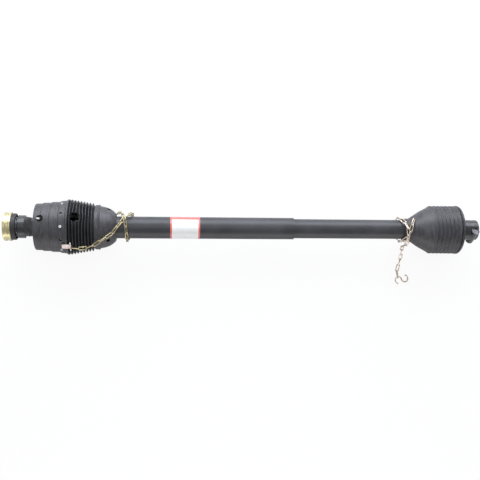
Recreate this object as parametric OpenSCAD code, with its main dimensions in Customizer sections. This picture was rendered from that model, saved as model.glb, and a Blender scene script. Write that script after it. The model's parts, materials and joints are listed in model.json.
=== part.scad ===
// Guarded drive shaft for a tractor's power take-off: a wide-angle joint with a ball collar at the
// tractor end, two profiled tubes that telescope, and a single cross joint at the implement end.
// The shaft lies along X from the tractor hub's face (X = 0) to the implement hub, with Z up.

/* [Drive line] */
// Length of the tractor yoke's splined hub
tractor_hub_l = 55; // [52:1:60]
// Length of the implement yoke's splined hub
implement_hub_l = 43; // [42:1:56]
// Distance from a fork's floor to its cross axis
fork_l = 46; // [46:0.5:50]
// Distance between the two crosses of the wide-angle joint
cross_gap = 98; // [96:1:106]
// Distance between the inner cross and the implement cross, tubes as they lie
drive_span = 1032; // [1000:2:1100]
// Length of the inner yoke's hub round the outer drive tube
inner_hub_l = 40; // [38:1:46]
// Length of the tube yoke's hub round the inner drive tube
tube_hub_l = 44; // [42:1:54]
// Outer radius of the plain part of every hub
hub_r = 31; // [30:0.25:32]

/* [Splined bores] */
// Radius to the tips of the hub's own teeth
spline_minor_r = 14.9; // [14:0.1:15.2]
// Radius to the floor of the six grooves
spline_major_r = 17.5; // [17:0.1:18]
// Width of one groove
spline_key_w = 8.7; // [8:0.1:9.4]

/* [Crosses] */
// Outer diameter of a bearing cap
cap_d = 27; // [26:0.25:28]
// Distance over a cross's two opposite caps
cross_span = 74.6; // [73:0.2:76]
// Depth of a bearing cap
cap_l = 12.5; // [11:0.25:13.5]
// Diameter of the cross's trunnions
trunnion_d = 16; // [14:0.5:17]
// Radius of the boss round a cap
boss_r = 19.5; // [18.5:0.25:20]
// Radius over the ears, square to the shaft
ear_r = 42.5; // [42:0.25:43]
// Thickness of the circlips
clip_t = 1.6; // [1.2:0.1:2]
// Running clearance of bearings and guides, on the radius
run_gap = 0.05; // [0.03:0.01:0.1]
// Gap between parts that don't touch
soft_gap = 0.3; // [0.2:0.05:0.5]

/* [Ball collar] */
// Radius of the collar
collar_r = 38.5; // [37.5:0.25:40]
// Length of the collar's metal part
collar_l = 21; // [20:0.5:23]
// Radius of the collar's plastic ring
collar_ring_r = 35.7; // [35:0.1:37]
// Length of the collar's plastic ring
collar_ring_l = 11.5; // [10:0.5:13]
// Radius of the hub where the collar slides
collar_seat_r = 24.5; // [24:0.1:25]
// Radius of a lock ball
ball_r = 6.5; // [6:0.1:6.8]
// Distance from the hub's face to the lock balls
ball_x = 12; // [11.5:0.25:12]
// How far a ball moves outwards for each millimetre of collar travel
ramp_slope = 0.25; // [0.2:0.01:0.3]
// Wire of the collar's spring
collar_spring_wire = 1.8; // [1.6:0.1:2]

/* [Wide-angle housing] */
// Outer radius of the double yoke's ring
housing_r = 56; // [55:0.25:57]
// Wall of the double yoke's ring
housing_wall = 8; // [7.5:0.25:9]
// Thickness of the centring disc
disc_t = 6; // [4:0.5:8]

/* [Drive tubes] */
// Radius over the outer tube's three lobes
outer_lobe_r = 21.7; // [21.2:0.1:22.2]
// Wall of the outer drive tube
outer_drive_wall = 3.4; // [3:0.1:3.8]
// Wall of the inner drive tube
inner_drive_wall = 3.4; // [3:0.1:4]
// Length of the outer drive tube
outer_drive_l = 600; // [580:5:610]
// Length of the inner drive tube
inner_drive_l = 612; // [590:5:620]
// Diameter of the spring pins through hubs and tubes
spring_pin_d = 10; // [8:0.5:12]

/* [Guard tubes] */
// Outer diameter of the outer guard tube
outer_guard_d = 60; // [59:0.25:61]
// Wall of both guard tubes
guard_wall = 2.6; // [2.4:0.05:2.8]
// Gap between the two guard tubes, on the radius
guard_gap = 0.4; // [0.3:0.05:0.6]
// Length of the outer guard tube
outer_guard_l = 498; // [480:2:510]
// Length of the inner guard tube
inner_guard_l = 544; // [530:2:560]

/* [Tractor guard] */
// Space between the double yoke and the guard's mouth, on the radius
shell_play = 6.7; // [6.2:0.1:8]
// How far the guard widens from its mouth to the bead at its rear edge, on the radius
bead_rise = 12.3; // [12:0.1:13]
// Wall of the moulded guards
shell_wall = 3; // [2.6:0.1:3.2]
// Distance from the guard's mouth to the front cross axis
shell_reach = 17; // [15:0.5:18]
// Number of folds of the bellows
fold_n = 8; // [6:1:9]
// Depth of a fold
fold_depth = 8; // [6:0.5:9]
// Wall of the bellows
fold_wall = 1.6; // [1.4:0.1:2]
// Radius of the rear cone at its front edge
dome_r = 60.5; // [60:0.25:61.5]
// Diameter of the greasing opening in the bellows
access_d = 25; // [20:1:26]

/* [Implement guard] */
// Radius of the guard's mouth
cone_mouth_r = 68.7; // [68:0.1:70]
// Distance from the implement cross axis to the guard's mouth
cone_reach = 31; // [28:0.5:32]
// Number of ribs round the mouth
rib_n = 7; // [5:1:8]
// Height of a rib
rib_h = 2.6; // [2:0.1:3]

/* [Chains] */
// Wire of the chain links
chain_wire = 2.8; // [2.4:0.1:2.9]
// Pitch of the chain
chain_pitch = 19.5; // [19:0.1:20]
// Width over a link
link_w = 10.5; // [10:0.1:11]

/* [Hidden] */
fine = 96;
round_fn = 48;
hair = 0.01;

// Places along the shaft
front_x = tractor_hub_l + fork_l;
rear_x = front_x + cross_gap;
implement_x = rear_x + drive_span;
middle_x = front_x + cross_gap / 2;
inner_fork_x = rear_x + fork_l;
inner_hub_x = inner_fork_x + inner_hub_l;
tube_fork_x = implement_x - fork_l;
tube_hub_x = tube_fork_x - tube_hub_l;
implement_fork_x = implement_x + fork_l;
implement_end_x = implement_fork_x + implement_hub_l;

// Crosses and forks
arm_end = cross_span / 2;
ear_face = arm_end + clip_t + 1.6;
ear_inner = arm_end - cap_l + 0.5;
clip_r = cap_d / 2 + 1;
root_inner = boss_r + 2;
nipple_seat = trunnion_d / 2 + 10.6;
hub_flare = [[hub_r, -fork_l], [35, -38], [40, -30], [ear_r, -23], [ear_r, boss_r + 1]];

// Tubes
inner_sunk = outer_drive_wall + 0.35;
flat_r = outer_lobe_r * 0.7;
flank_r = outer_lobe_r * 3;
outer_guard_r = outer_guard_d / 2;
inner_guard_r = outer_guard_r - guard_wall - guard_gap;
outer_drive_x = inner_fork_x + 5;
inner_drive_x = tube_fork_x - 3 - inner_drive_l;
dome_x = rear_x + 43;
dome_end_x = inner_hub_x + 12;
dome_l = dome_end_x - dome_x;
neck_r = 37;
outer_guard_x = dome_end_x - 8;
cone_end_x = implement_x + cone_reach;
cone_neck_x = tube_hub_x - 37;
cone_neck_l = 16;
inner_guard_x = cone_neck_x + cone_neck_l - 2 - inner_guard_l;

// Tractor guard
housing_bore_r = housing_r - housing_wall;
shell_mouth_r = housing_r + shell_play;
shell_bead_r = shell_mouth_r + bead_rise;
shell_bore_r = shell_mouth_r + 4.4 - shell_wall;
shell_x = front_x - shell_reach;
shell_end_x = rear_x - 29;
step_pitch = 23;
fold_x = shell_end_x + 3;
fold_end_x = dome_x - 1;
fold_pitch = (fold_end_x - 4 - fold_x) / fold_n;
first_fold_r = shell_bead_r - 0.5;
last_fold_r = dome_r + 4.5;
access_x = rear_x - 7;
access_turn = 22;
grip_r = 9.5;
grip_turn = 20;
screw_seat_r = shell_mouth_r + 4;
bearing_groove_w = 8;
bearing_x = middle_x + 6;
rear_bearing_x = inner_hub_x - 19;
inner_pin_x = inner_hub_x - 8;
tube_pin_x = tube_fork_x - 12;
implement_bearing_x = tube_fork_x - 36;
bearing_groove = 4;

// Chains, as they lie on the guards and on the floor
link_play = 0.8;
link_l = chain_pitch + 2 * chain_wire + link_play;
outer_wrap_x = dome_end_x + 27;
inner_wrap_x = cone_neck_x - 15;
chain_turn = 44;
hook_turn = 42;
hook_hole_x = cone_neck_x + 22;
floor_z = -cone_mouth_r - 1;
laid_z = floor_z + link_w / 2;
laid_links = 6;
hook_wire = 3.8;
hook_bend_r = 10;
outer_lie_r = outer_guard_r + 6;
inner_lie_r = inner_guard_r + 6.6;
outer_route = [
    [shell_end_x + 14, chain_turn, shell_bead_r + 6.5], [rear_x + 14, 50, dome_r + 17],
    [dome_x - 2, 49, dome_r + 11.5], [dome_x + 26, 42, dome_r + 2.5], [dome_x + 49, 26, neck_r + 15],
    [outer_wrap_x - 15, 0, outer_lie_r + 4], [outer_wrap_x - 8, -40, outer_lie_r],
    [outer_wrap_x - 5, -90, outer_lie_r], [outer_wrap_x - 3, -180, outer_lie_r],
    [outer_wrap_x, -270, outer_lie_r], [outer_wrap_x + 4, -345, outer_lie_r]
];
inner_route = [
    [hook_hole_x, -hook_turn, inner_guard_r + 17], [cone_neck_x + 8, -6, inner_guard_r + 10.5],
    [cone_neck_x - 5, 40, inner_guard_r + 7.5], [inner_wrap_x + 3, 90, inner_lie_r],
    [inner_wrap_x, 180, inner_lie_r], [inner_wrap_x - 2, 270, inner_lie_r],
    [inner_wrap_x - 5, 360, inner_lie_r], [inner_wrap_x - 7, 430, inner_lie_r + 0.9],
    off_tube(inner_wrap_x - 5, 46, -6), off_tube(inner_wrap_x + 1, 64, -27),
    off_tube(inner_wrap_x + 8, 84, -46), off_tube(inner_wrap_x + 14, 105, laid_z + 5.5),
    off_tube(inner_wrap_x + 19, 124, laid_z + 0.5), off_tube(inner_wrap_x + 24, 144, laid_z)
];

// Key point of a chain that has left the tube: x, distance out from the axis, and height
function off_tube(x, out, z) = [x, 360 + atan2(out, z), norm([out, z])];

// Turns a profile of [radius, x] points round the shaft's axis
module turned(points) {
    rotate([0, 90, 0]) rotate_extrude($fn = fine) polygon(points);
}

// Round bar along the shaft, from x0 to x1
module bar(x0, x1, r) {
    translate([x0, 0, 0]) rotate([0, 90, 0]) cylinder(h = x1 - x0, r = r, $fn = fine);
}

// Tube along the shaft, from x0 to x1
module sleeve(x0, x1, r_out, r_in) {
    turned([[r_in, x0], [r_out, x0], [r_out, x1], [r_in, x1]]);
}

// Six-groove splined bore through a hub
module spline_bore(x0, x1) {
    bar(x0, x1, spline_minor_r);
    intersection() {
        bar(x0, x1, spline_major_r);
        for (a = [0:60:120])
            rotate([a, 0, 0])
                translate([x0, -spline_major_r - 1, -spline_key_w / 2])
                    cube([x1 - x0, 2 * spline_major_r + 2, spline_key_w]);
    }
}

// Fork of a yoke, with its cross axis along Z through the origin and its hub towards -X
module fork(flare) {
    difference() {
        intersection() {
            turned(concat([[0, -fork_l - 6], [hub_r, -fork_l - 6]], flare, [[0, boss_r + 1]]));
            union() {
                for (s = [0, 1]) mirror([0, 0, s]) {
                    translate([0, 0, ear_inner]) linear_extrude(ear_face - ear_inner) ear_plan();
                    translate([0, 0, root_inner]) linear_extrude(ear_face - root_inner) root_plan();
                }
                translate([-fork_l - 6, -50, -50]) cube([6, 100, 100]);
            }
        }
        cylinder(h = 120, d = cap_d, center = true, $fn = fine);
        for (s = [0, 1]) mirror([0, 0, s])
            translate([0, 0, arm_end]) cylinder(h = clip_t, r = clip_r, $fn = fine);
    }
}

// Plan of an ear, from the fork's floor to the boss
module ear_plan() {
    circle(r = boss_r, $fn = fine);
    polygon([[-fork_l - 1, -28], [-fork_l - 1, 28], [-24, 23.5], [-6, boss_r - 1.2],
             [-6, 1.2 - boss_r], [-24, -23.5]]);
}

// Plan of an ear's thick root
module root_plan() {
    polygon([[-fork_l - 1, -28], [-fork_l - 1, 28], [-26, 24], [-26, -24]]);
}

// Two bearing caps of a cross axis along Z
module caps() {
    for (s = [0, 1]) mirror([0, 0, s]) difference() {
        translate([0, 0, arm_end - cap_l]) cylinder(h = cap_l, d = cap_d, $fn = fine);
        translate([0, 0, arm_end - cap_l - 1])
            cylinder(h = cap_l - 2, d = trunnion_d + 2 * run_gap, $fn = fine);
        translate([0, 0, arm_end - cap_l - 1]) cylinder(h = 3, d = trunnion_d + 5, $fn = fine);
    }
}

// Two circlips that hold the caps of a cross axis along Z
module clips() {
    for (s = [0, 1]) mirror([0, 0, s]) translate([0, 0, arm_end]) difference() {
        cylinder(h = clip_t, r = clip_r, $fn = fine);
        translate([0, 0, -1]) cylinder(h = clip_t + 2, r = clip_r - 3, $fn = fine);
        translate([clip_r - 4, -4, -1]) cube([6, 8, clip_t + 2]);
    }
}

// Forged cross with two arms along Z and two along Y
module spider() {
    arm_r = trunnion_d / 2 + 2.2;
    difference() {
        union() {
            sphere(r = 15, $fn = fine);
            rotate([45, 0, 0]) cylinder(h = nipple_seat, r = 5.4, $fn = round_fn);
            for (a = [0, 90]) rotate([a, 0, 0]) {
                cylinder(h = 2 * (arm_end - cap_l - 0.8), r = arm_r, center = true, $fn = fine);
                cylinder(h = 2 * (arm_end - 3.4), d = trunnion_d, center = true, $fn = fine);
            }
        }
        rotate([45, 0, 0]) translate([0, 0, nipple_seat - 3]) cylinder(h = 10, r = 3.4, $fn = round_fn);
    }
}

// Grease nipple screwed into the cross between two arms
module nipple() {
    rotate([45, 0, 0]) translate([0, 0, nipple_seat]) {
        translate([0, 0, -3]) cylinder(h = 3, r = 3.4, $fn = round_fn);
        cylinder(h = 3, r = 4, $fn = 6);
        translate([0, 0, 3]) cylinder(h = 2, r1 = 3, r2 = 2, $fn = round_fn);
        translate([0, 0, 5]) cylinder(h = 1.4, r1 = 1.8, r2 = 2.8, $fn = round_fn);
        translate([0, 0, 6.4]) cylinder(h = 1.6, r1 = 2.8, r2 = 1.4, $fn = round_fn);
    }
}

// Coil of round wire along the shaft, swept as one closed mesh
module coil(x0, length, r, wire, turns) {
    sides = 8;
    steps = 16 * turns;
    rise = (length - wire) / steps;
    ring = [for (i = [0:steps]) for (j = [0:sides - 1])
        let (a = 22.5 * i, b = 360 * j / sides, q = r + wire / 2 * cos(b))
        [x0 + wire / 2 + rise * i + wire / 2 * sin(b), q * cos(a), q * sin(a)]];
    walls = [for (i = [0:steps - 1]) for (j = [0:sides - 1]) let (k = (j + 1) % sides)
        [i * sides + j, i * sides + k, (i + 1) * sides + k, (i + 1) * sides + j]];
    polyhedron(ring, concat(walls, [[for (j = [sides - 1:-1:0]) j]],
        [[for (j = [0:sides - 1]) steps * sides + j]]), convexity = 8);
}

// Chain link with its long side along X
module link() {
    bend_r = (link_w - chain_wire) / 2;
    side = link_l - link_w;
    for (s = [0, 1]) mirror([s, 0, 0]) translate([side / 2, 0, 0]) rotate([0, 0, -90])
        rotate_extrude(angle = 180, $fn = 48) translate([bend_r, 0]) circle(d = chain_wire, $fn = 24);
    for (y = [-bend_r, bend_r]) translate([-side / 2, y, 0]) rotate([0, 90, 0])
        cylinder(d = chain_wire, h = side, $fn = 24);
}

// Profile of a three-lobed drive tube, sunk by a wall or a clearance: three wide flanks, cut round
module trilobe(sunk) {
    intersection() {
        circle(r = outer_lobe_r - sunk, $fn = fine);
        translate([flat_r - flank_r, 0]) circle(r = flank_r - sunk, $fn = fine);
        rotate(120) translate([flat_r - flank_r, 0]) circle(r = flank_r - sunk, $fn = fine);
        rotate(240) translate([flat_r - flank_r, 0]) circle(r = flank_r - sunk, $fn = fine);
    }
}

// Solid of the three-lobed profile along the shaft
module lobed_bar(x0, x1, sunk) {
    translate([x0, 0, 0]) rotate([0, 90, 0]) linear_extrude(x1 - x0) trilobe(sunk);
}

// Profiled tube along the shaft
module drive_tube(x0, length, sunk, wall) {
    difference() {
        lobed_bar(x0, x0 + length, sunk);
        lobed_bar(x0 - 1, x0 + length + 1, sunk + wall);
    }
}

// Hub of a yoke, from x0 to x1, with a groove for the guard's bearing
module tube_hub(x0, x1, groove_x) {
    difference() {
        bar(x0, x1, hub_r);
        sleeve(groove_x - bearing_groove_w / 2, groove_x + bearing_groove_w / 2,
               hub_r + 1, hub_r - bearing_groove);
    }
}

// Cast yoke with the splined hub that goes onto the tractor's shaft
module tractor_yoke() {
    color("#26262a") difference() {
        union() {
            translate([front_x, 0, 0]) fork(hub_flare);
            turned([[0, 0], [collar_seat_r - 1, 0], [collar_seat_r, 1],
                    [collar_seat_r, collar_l + collar_ring_l + 3.5],
                    [hub_r, collar_l + collar_ring_l + 5.5], [hub_r, tractor_hub_l], [0, tractor_hub_l]]);
        }
        spline_bore(-1, tractor_hub_l + 1);
        sleeve(2, 4.1, collar_seat_r + 1, collar_seat_r - 1.6);
        for (a = [0:120:240]) rotate([a, 0, 0]) translate([ball_x, 0, 0])
            cylinder(h = 40, r = ball_r + run_gap, $fn = fine);
    }
}

// Bearing caps in the tractor yoke's ears
module tractor_yoke_caps() {
    color("#9a9a9c") translate([front_x, 0, 0]) caps();
}

// Circlips in the tractor yoke's ears
module tractor_yoke_clips() {
    color("#6b6b6e") translate([front_x, 0, 0]) clips();
}

// Radius of the collar's ramp over the balls, at x from the hub's face
function ramp_r(x) = spline_minor_r - 2.1 + 2 * ball_r + 0.35 + ramp_slope * (ball_x - x);

// Plated steel collar with the ramp that holds the balls in
module lock_collar() {
    mouth_r = collar_seat_r + 7.5;
    rim_r = collar_seat_r + run_gap;
    color("#c9ad62") turned([
        [mouth_r, 0], [collar_r - 2, 0], [collar_r, 1.6], [collar_r, 8], [collar_r - 1.2, 9.5],
        [collar_r - 1.2, collar_l - 7], [collar_r, collar_l - 5.5], [collar_r, collar_l - 1.2],
        [collar_r - 1.2, collar_l], [collar_seat_r + 5.5, collar_l], [collar_seat_r + 5.5, collar_l - 2],
        [rim_r, collar_l - 2], [rim_r, collar_l - 5], [ramp_r(collar_l - 5), collar_l - 5],
        [ramp_r(4.6), 4.6], [mouth_r, 4.6]
    ]);
}

// Plastic ring behind the collar, which the hand pulls
module collar_ring() {
    end_x = collar_l + collar_ring_l;
    color("#1d1d20") turned([
        [hub_r + 0.5, collar_l], [collar_ring_r, collar_l], [collar_ring_r, end_x - 1.5],
        [collar_ring_r - 1.5, end_x], [hub_r + 0.5, end_x]
    ]);
}

// Spring that pushes the collar back over the balls
module collar_spring() {
    start_x = collar_l - 2 + 0.1;
    end_x = collar_l + collar_ring_l + 3.5;
    color("#8d8d90")
        coil(start_x, end_x - start_x, collar_seat_r + collar_spring_wire / 2 + 0.6, collar_spring_wire, 2.5);
}

// Snap ring that stops the collar at the hub's end
module collar_snap_ring() {
    color("#77777a") difference() {
        sleeve(2.1, 4, collar_seat_r + 3, collar_seat_r - 1.5);
        translate([0, -3, -collar_r]) cube([6, 6, collar_r]);
    }
}

// One lock ball at its angle round the hub
module lock_ball(a) {
    color("#b8b8bc") rotate([a, 0, 0]) translate([ball_x, 0, spline_minor_r - 2.1 + ball_r])
        sphere(r = ball_r, $fn = fine);
}
module lock_ball_1() { lock_ball(0); }
module lock_ball_2() { lock_ball(120); }
module lock_ball_3() { lock_ball(240); }

// Cross between the tractor yoke and the double yoke
module cross_front() {
    color("#8f8f92") translate([front_x, 0, 0]) spider();
}
module cross_front_nipple() {
    color("#c8a24a") translate([front_x, 0, 0]) nipple();
}

// Ear of the double yoke, with its cross axis along Y through the origin and its ring towards +X
module housing_ears() {
    intersection() {
        turned([[0, -boss_r - 1], [ear_r, -boss_r - 1], [ear_r, 17], [housing_r, 28],
                [housing_r, 40], [0, 40]]);
        rotate([90, 0, 0]) for (s = [0, 1]) mirror([0, 0, s])
            translate([0, 0, ear_inner]) linear_extrude(60) {
                circle(r = boss_r, $fn = fine);
                polygon([[6, 1.2 - boss_r], [6, boss_r - 1.2], [22, 24], [40, 30], [40, -30], [22, -24]]);
            }
    }
}

// Double yoke: one casting that joins the two crosses, with the seat of the guard's bearing
module cv_housing() {
    ring_l = cross_gap - 2 * (boss_r + 3);
    color("#242428") difference() {
        union() {
            difference() {
                turned([[0, middle_x - ring_l / 2 + 6], [housing_r - 6, middle_x - ring_l / 2 + 2],
                        [housing_r, middle_x - ring_l / 2 + 8], [housing_r, middle_x + ring_l / 2 - 8],
                        [housing_r - 6, middle_x + ring_l / 2 - 2], [0, middle_x + ring_l / 2 - 6]]);
                turned([[0, 0], [housing_bore_r, 0], [housing_bore_r, rear_x], [0, rear_x]]);
            }
            for (end = [[front_x, 0], [rear_x, 1]])
                translate([end[0], 0, 0]) mirror([end[1], 0, 0]) difference() {
                    housing_ears();
                    translate([boss_r + 7, 0, 0])
                        turned([[0, 0], [housing_bore_r, 0], [housing_bore_r, 20], [0, 20]]);
                }
        }
        for (x = [front_x, rear_x]) translate([x, 0, 0]) rotate([90, 0, 0]) {
            cylinder(h = 200, d = cap_d, center = true, $fn = fine);
            for (s = [0, 1]) mirror([0, 0, s])
                translate([0, 0, arm_end]) cylinder(h = clip_t, r = clip_r, $fn = fine);
            for (s = [0, 1]) mirror([0, 0, s])
                translate([0, 0, ear_face]) cylinder(h = 30, r = clip_r + 1.5, $fn = fine);
        }
        sleeve(bearing_x - bearing_groove_w / 2, bearing_x + bearing_groove_w / 2,
               housing_r + 1, housing_r - bearing_groove);
        sleeve(middle_x - disc_t / 2, middle_x + disc_t / 2, housing_bore_r + 2, housing_bore_r - 2);
    }
}

// Slotted disc that keeps the wide-angle joint centred
module centring_disc() {
    color("#6f7074") difference() {
        bar(middle_x - disc_t / 2, middle_x + disc_t / 2, housing_bore_r + 2);
        bar(middle_x - disc_t, middle_x + disc_t, 14);
        for (a = [45:90:315]) rotate([a, 0, 0]) translate([middle_x, 0, 31]) rotate([0, 90, 0])
            cylinder(h = disc_t + 2, r = 7, center = true, $fn = fine);
    }
}

// Bearing caps and circlips in the double yoke's ears
module cv_front_caps() {
    color("#9a9a9c") translate([front_x, 0, 0]) rotate([90, 0, 0]) caps();
}
module cv_front_clips() {
    color("#6b6b6e") translate([front_x, 0, 0]) rotate([90, 0, 0]) clips();
}
module cv_rear_caps() {
    color("#9a9a9c") translate([rear_x, 0, 0]) rotate([90, 0, 0]) caps();
}
module cv_rear_clips() {
    color("#6b6b6e") translate([rear_x, 0, 0]) rotate([90, 0, 0]) clips();
}

// Slide ring of tough plastic between the double yoke and the guard
module shell_bearing() {
    color("#d9d4c4") difference() {
        turned([
            [housing_r - bearing_groove + run_gap, bearing_x - 3.5], [housing_r + 1, bearing_x - 3.5],
            [housing_r + 1, bearing_x - 6], [shell_bore_r, bearing_x - 6], [shell_bore_r, bearing_x + 6],
            [housing_r + 1, bearing_x + 6], [housing_r + 1, bearing_x + 3.5],
            [housing_r - bearing_groove + run_gap, bearing_x + 3.5]
        ]);
        screw_places(0) cylinder(h = 40, r = 2, center = true, $fn = round_fn);
    }
}

// Place of the tractor guard's step i, of three
function step_x(i) = shell_end_x - 21 - step_pitch * (3 - i);

// Steps of the tractor guard's outline, as [radius, x]
function shell_outline() = concat(
    [[shell_mouth_r - 1, shell_x], [shell_mouth_r, shell_x + 1.2]],
    [for (i = [1:3]) each [
        [shell_mouth_r + 2.35 * i - 1.65, step_x(i) - 1], [shell_mouth_r + 2.35 * i + 0.15, step_x(i) + 1]]],
    [[shell_bead_r - 3, shell_end_x - 4], [shell_bead_r - 0.8, shell_end_x - 1.5],
     [shell_bead_r, shell_end_x], [shell_bead_r, shell_end_x + 2.4], [shell_bead_r - 0.8, shell_end_x + 3]]
);

// Places of the screws through the guard into its bearing, turned by the angle first
module screw_places(first) {
    for (a = [0:60:300]) rotate([a + first, 0, 0]) translate([bearing_x, 0, screw_seat_r]) children();
}

// Moulded guard round the wide-angle joint
module guard_shell() {
    spigot_r = shell_bead_r - 9;
    color("#2b2b2f") difference() {
        turned(concat(shell_outline(), [
            [spigot_r, shell_end_x + 3], [spigot_r, shell_end_x + 4.8], [shell_bore_r, shell_end_x + 4.8],
            [shell_bore_r, shell_x + 46],
            [shell_mouth_r + 0.6 - shell_wall, shell_x + 40],
            [shell_mouth_r - shell_wall, shell_x]
        ]));
        rotate([-grip_turn, 0, 0]) translate([shell_x + 17.5, 0, 40]) cylinder(h = 40, r = grip_r, $fn = fine);
        screw_places(0) cylinder(h = 40, r = 2.3, center = true, $fn = round_fn);
        screw_places(0) translate([0, 0, 2]) cylinder(h = 20, r = 5.6, $fn = round_fn);
        screw_places(30) cylinder(h = 40, r = 3.6, center = true, $fn = round_fn);
    }
}

// Screws that hold the guard on its bearing
module shell_screws() {
    color("#cfcfd2") screw_places(0) difference() {
        union() {
            translate([0, 0, -9]) cylinder(h = 12, r = 1.95, $fn = round_fn);
            translate([0, 0, 2]) cylinder(h = 3, r1 = 5, r2 = 3.8, $fn = round_fn);
        }
        translate([-5, -0.7, 3.8]) cube([10, 1.4, 4]);
    }
}

// Small bare tag and toggle bar at the end of the tractor-side chain, on the guard's rear edge
module chain_tag() {
    color("#d8c7b4") rotate([chain_turn, 0, 0]) {
        translate([shell_end_x - 11, -7, shell_bead_r + soft_gap]) cube([24, 14, 1.2]);
        translate([shell_end_x + 11, 0, shell_bead_r + soft_gap + 1]) rotate([90, 0, 0])
            cylinder(h = 28, r = 1.4, center = true, $fn = 24);
    }
}

// Cross between the double yoke and the inner yoke
module cross_rear() {
    color("#8f8f92") translate([rear_x, 0, 0]) spider();
}
module cross_rear_nipple() {
    color("#c8a24a") translate([rear_x, 0, 0]) nipple();
}

// Cast yoke on the outer drive tube
module inner_yoke() {
    color("#242428") difference() {
        union() {
            translate([rear_x, 0, 0]) mirror([1, 0, 0]) fork(hub_flare);
            tube_hub(inner_fork_x, inner_hub_x, rear_bearing_x);
        }
        lobed_bar(outer_drive_x, inner_hub_x + 1, -hair);
        pin_hole(inner_pin_x);
    }
}
module inner_yoke_caps() {
    color("#9a9a9c") translate([rear_x, 0, 0]) caps();
}
module inner_yoke_clips() {
    color("#6b6b6e") translate([rear_x, 0, 0]) clips();
}

// Hole for a spring pin across a hub
module pin_hole(x) {
    translate([x, 0, 0]) rotate([90, 0, 0])
        cylinder(h = 3 * hub_r, d = spring_pin_d + 2 * hair, center = true, $fn = round_fn);
}

// Slotted spring pin across a hub, as two pins one in the other
module spring_pin(x) {
    color("#7a7a7d") translate([x, 0, 0]) rotate([90, 0, 0]) difference() {
        cylinder(h = 2 * hub_r - 2, d = spring_pin_d, center = true, $fn = round_fn);
        cylinder(h = 2 * hub_r, d = spring_pin_d - 4, center = true, $fn = round_fn);
        translate([0, -0.8, -hub_r]) cube([spring_pin_d, 1.6, 2 * hub_r]);
    }
}
module inner_yoke_pin() { spring_pin(inner_pin_x); }
module tube_yoke_pin() { spring_pin(tube_pin_x); }

// Outer profiled tube that carries the drive
module outer_drive_tube() {
    color("#5c5d61") difference() {
        drive_tube(outer_drive_x, outer_drive_l, 0, outer_drive_wall);
        pin_hole(inner_pin_x);
    }
}

// Inner profiled tube that slides in the outer one
module inner_drive_tube() {
    color("#66676b") difference() {
        drive_tube(inner_drive_x, inner_drive_l, inner_sunk, inner_drive_wall);
        pin_hole(tube_pin_x);
    }
}

// Crest radius of the bellows at fold i
function crest_r(i) = first_fold_r + (last_fold_r - first_fold_r) * i / (fold_n - 1);

// Outline of the bellows from its front collar to its rear collar, as [radius, x], sunk by d
function fold_outline(d) = concat(
    [[shell_bead_r - 5 - d, shell_end_x + 3.3], [shell_bead_r - 5 - d, fold_x + 1]],
    [for (i = [0:fold_n - 1]) each [
        [crest_r(i) - fold_depth - d, fold_x + 2 + (i + 0.08) * fold_pitch],
        [crest_r(i) - d, fold_x + 2 + (i + 0.42) * fold_pitch],
        [crest_r(i) - d, fold_x + 2 + (i + 0.58) * fold_pitch],
        [crest_r(i) - fold_depth - d, fold_x + 2 + (i + 0.92) * fold_pitch]]],
    [[dome_r - 2.5 - d, fold_end_x]]
);

// Rubber bellows between the two guards
module bellows() {
    outer = fold_outline(0);
    inner = fold_outline(fold_wall);
    last = len(inner) - 1;
    color("#1c1d20") difference() {
        turned(concat(outer, [for (i = [0:last]) inner[last - i]]));
        rotate([-access_turn, 0, 0]) translate([access_x, 0, 40]) cylinder(h = 60, d = access_d, $fn = fine);
    }
}

// Outline of the rear cone: a flange, a bead and a dome that ends at the neck, as [radius, x]
function dome_outline(d) = concat(
    [[dome_r - d, dome_x], [dome_r - d, dome_x + 8], [dome_r + 1 - d, dome_x + 9.5],
     [dome_r + 1 - d, dome_x + 11], [dome_r - 3 - d, dome_x + 14]],
    [for (i = [1:8]) let (t = i / 8) [dome_r - 3 - d - (dome_r - 3 - neck_r) * (0.35 * t + 0.65 * t * t * t),
        dome_x + 14 + (dome_l - 14) * t]]
);

// Rigid cone behind the bellows, on the outer guard tube
module guard_cone_rear() {
    outer = dome_outline(0);
    inner = dome_outline(shell_wall);
    last = len(inner) - 1;
    spigot_r = dome_r - 5.6;
    color("#2b2b2f") difference() {
        union() {
            turned(concat(outer, [for (i = [0:last]) inner[last - i]]));
            sleeve(dome_x - 5, dome_x + 2, spigot_r, spigot_r - 2.2);
            sleeve(dome_x, dome_x + 2, dome_r - 1, spigot_r - 1);
            sleeve(dome_end_x - 9, dome_end_x, neck_r - 1, outer_guard_r + hair);
        }
        for (a = [-70, 45]) rotate([a, 0, 0]) translate([dome_end_x - 19, 0, 30])
            cylinder(h = 40, r = 5, $fn = round_fn);
    }
}

// Slide ring between the inner yoke and the rear cone
module guard_bearing_outer() {
    slide_ring(rear_bearing_x, dome_bore_r(rear_bearing_x) - 0.05);
}

// Radius of the rear cone's bore at x, between the two nearest points of its outline
function dome_bore_r(x) = let (p = dome_outline(shell_wall)) min([for (i = [0:len(p) - 2])
    if (p[i][1] <= x + 4 && p[i + 1][1] >= x + 4)
        p[i][0] + (p[i + 1][0] - p[i][0]) * (x + 4 - p[i][1]) / (p[i + 1][1] - p[i][1])]);

// Slide ring of tough plastic in a hub's groove, at x, that reaches out to the guard at radius r
module slide_ring(x, r) {
    color("#d9d4c4") difference() {
        turned([
            [hub_r - bearing_groove + run_gap, x - 3.5], [hub_r + 1, x - 3.5], [hub_r + 1, x - 4],
            [r, x - 4], [r, x + 4], [hub_r + 1, x + 4], [hub_r + 1, x + 3.5],
            [hub_r - bearing_groove + run_gap, x + 3.5]
        ]);
        translate([x - 5, -0.8, -r - 1]) cube([10, 1.6, r - hub_r + 6]);
    }
}

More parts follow.
